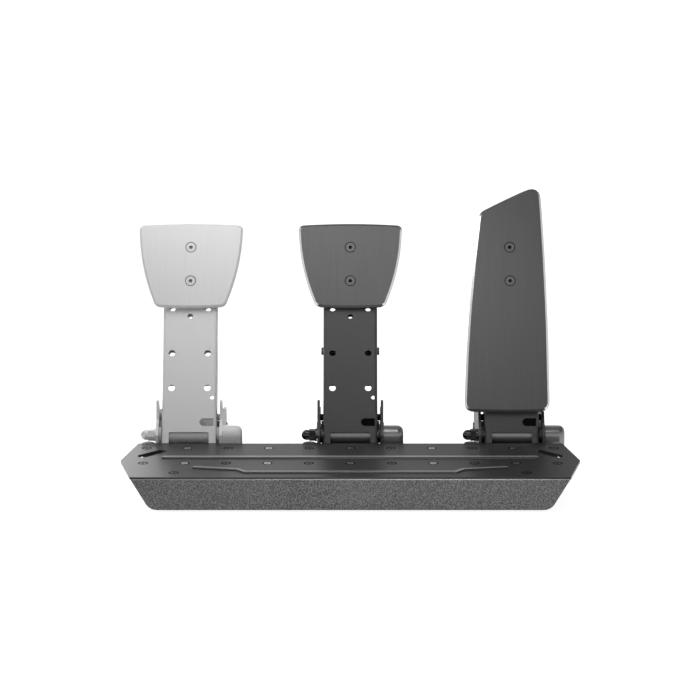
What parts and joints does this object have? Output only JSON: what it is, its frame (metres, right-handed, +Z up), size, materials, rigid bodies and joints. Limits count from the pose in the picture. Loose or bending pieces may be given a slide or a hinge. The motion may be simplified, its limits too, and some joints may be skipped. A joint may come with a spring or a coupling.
{
  "type": "sim racing pedal set",
  "caption": "Racing pedal set: clutch, brake and throttle levers lean over a bent steel heel deck, each with a spring strut behind it and an angle sensor on its axle.",
  "frame": {"origin": "centre of the footprint, on the floor", "axes": "+X across the pedals from clutch to throttle, +Y away from the driver, +Z up"},
  "size_m": [0.42, 0.232, 0.2528],
  "materials": {
    "deck_coat": "semi-gloss charcoal powder coat",
    "grit": "fine charcoal grit",
    "tray_coat": "matt black powder coat",
    "zinc_steel": "zinc plated",
    "bright_screw": "bright zinc plate",
    "black_screw": "black oxide",
    "foot_rubber": "matt",
    "case_plastic": "fine texture",
    "board": "solder mask",
    "socket_plastic": "glossy black",
    "bush_polymer": "black bearing polymer",
    "pin_steel": "ground steel",
    "sleeve_rubber": "smooth",
    "module_coat": "satin dark grey coat",
    "pale_coat": "satin pale silver coat",
    "cover_coat": "satin mid grey coat",
    "pale_cover": "satin pale silver coat",
    "dark_nut": "black nickel",
    "pale_nut": "bright nickel",
    "pad_anodised": "brushed, dark anodised, bright bevels",
    "pale_pad": "brushed, clear anodised",
    "screw_steel": "stainless",
    "guide_black": "black anodised",
    "spring_steel": "bright spring wire",
    "elastomer": "orange polyurethane",
    "cell_steel": "machined"
  },
  "bodies": {
    "base": {"heel_deck": "deck_coat", "grip_sheet": "grit", "base_tray": "tray_coat", "deck_supports": "zinc_steel", "deck_screws_bright": "bright_screw", "deck_screws_dark": "black_screw", "rubber_feet": "foot_rubber", "controller_case": "case_plastic", "controller_cover": "case_plastic", "controller_board": "board", "socket_row": "socket_plastic", "axle_bushes": "bush_polymer", "stop_bars": "pin_steel", "stop_sleeves": "sleeve_rubber", "swivel_pins": "pin_steel", "module_bolts": "black_screw", "sensor_boards": "board", "sensor_grommets": "sleeve_rubber", "ear_posts": "zinc_steel", "clutch_left_plate": "pale_coat", "clutch_right_plate": "pale_coat", "clutch_sensor_cover": "pale_cover", "brake_left_plate": "module_coat", "brake_right_plate": "module_coat", "brake_sensor_cover": "cover_coat", "throttle_left_plate": "module_coat", "throttle_right_plate": "module_coat", "throttle_sensor_cover": "cover_coat"},
    "clutch_lever": {"clutch_arm": "pale_coat", "clutch_arm_back": "pale_coat", "clutch_pivot_tube": "pale_coat", "clutch_axle": "pin_steel", "clutch_axle_nut": "pale_nut", "clutch_pad": "pale_pad", "clutch_fasteners": "screw_steel"},
    "clutch_guide": {"clutch_spring_guide": "guide_black", "clutch_spring": "spring_steel"},
    "clutch_rod": {"clutch_strut_rod": "pin_steel"},
    "brake_lever": {"brake_arm": "module_coat", "brake_arm_back": "module_coat", "brake_pivot_tube": "module_coat", "brake_axle": "pin_steel", "brake_axle_nut": "dark_nut", "brake_pad": "pad_anodised", "brake_fasteners": "screw_steel"},
    "brake_guide": {"brake_spring_guide": "guide_black", "brake_spring": "spring_steel", "brake_elastomer": "elastomer", "brake_load_cell": "cell_steel"},
    "brake_rod": {"brake_strut_rod": "pin_steel"},
    "throttle_lever": {"throttle_arm": "module_coat", "throttle_arm_back": "module_coat", "throttle_pivot_tube": "module_coat", "throttle_axle": "pin_steel", "throttle_axle_nut": "dark_nut", "throttle_pad": "pad_anodised", "throttle_fasteners": "screw_steel"},
    "throttle_guide": {"throttle_spring_guide": "guide_black", "throttle_spring": "spring_steel"},
    "throttle_rod": {"throttle_strut_rod": "pin_steel"}
  },
  "joints": [
    {"name": "clutch_pivot", "type": "hinge", "parent": "base", "child": "clutch_lever", "pos_m": [-0.151, 0.0143, 0.037], "axis": [-1, 0, 0], "range_deg": [0, 22], "stiffness_Nm_per_rad": 10, "springref_deg": -17.19},
    {"name": "clutch_guide_swing", "type": "hinge", "parent": "base", "child": "clutch_guide", "pos_m": [-0.151, 0.1003, 0.021], "axis": [-1, 0, 0], "range_deg": [0, 2.14]},
    {"name": "clutch_rod_slide", "type": "slide", "parent": "clutch_guide", "child": "clutch_rod", "axis": [0, 0.6021, -0.7984], "range_m": [0, 0.0232], "deforming": ["clutch_spring"]},
    {"name": "brake_pivot", "type": "hinge", "parent": "base", "child": "brake_lever", "pos_m": [0, 0.0143, 0.037], "axis": [-1, 0, 0], "range_deg": [0, 14], "stiffness_Nm_per_rad": 60, "springref_deg": -5.73},
    {"name": "brake_guide_swing", "type": "hinge", "parent": "base", "child": "brake_guide", "pos_m": [0, 0.1003, 0.021], "axis": [-1, 0, 0], "range_deg": [0, 6.56]},
    {"name": "brake_rod_slide", "type": "slide", "parent": "brake_guide", "child": "brake_rod", "axis": [0, 0.4001, -0.9165], "range_m": [0, 0.0183], "deforming": ["brake_spring"]},
    {"name": "throttle_pivot", "type": "hinge", "parent": "base", "child": "throttle_lever", "pos_m": [0.151, 0.0143, 0.037], "axis": [-1, 0, 0], "range_deg": [0, 22], "stiffness_Nm_per_rad": 6, "springref_deg": -20.05},
    {"name": "throttle_guide_swing", "type": "hinge", "parent": "base", "child": "throttle_guide", "pos_m": [0.151, 0.1003, 0.021], "axis": [-1, 0, 0], "range_deg": [0, 2.14]},
    {"name": "throttle_rod_slide", "type": "slide", "parent": "throttle_guide", "child": "throttle_rod", "axis": [0, 0.6021, -0.7984], "range_m": [0, 0.0232], "deforming": ["throttle_spring"]}
  ],
  "couplings": [
    {"joint": "clutch_guide_swing", "follows": "clutch_pivot", "ratio": 0.095},
    {"joint": "clutch_rod_slide", "follows": "clutch_pivot", "m_per_rad": 0.060156},
    {"joint": "brake_guide_swing", "follows": "brake_pivot", "ratio": 0.465},
    {"joint": "brake_rod_slide", "follows": "brake_pivot", "m_per_rad": 0.074668},
    {"joint": "throttle_guide_swing", "follows": "throttle_pivot", "ratio": 0.095},
    {"joint": "throttle_rod_slide", "follows": "throttle_pivot", "m_per_rad": 0.060156}
  ]
}
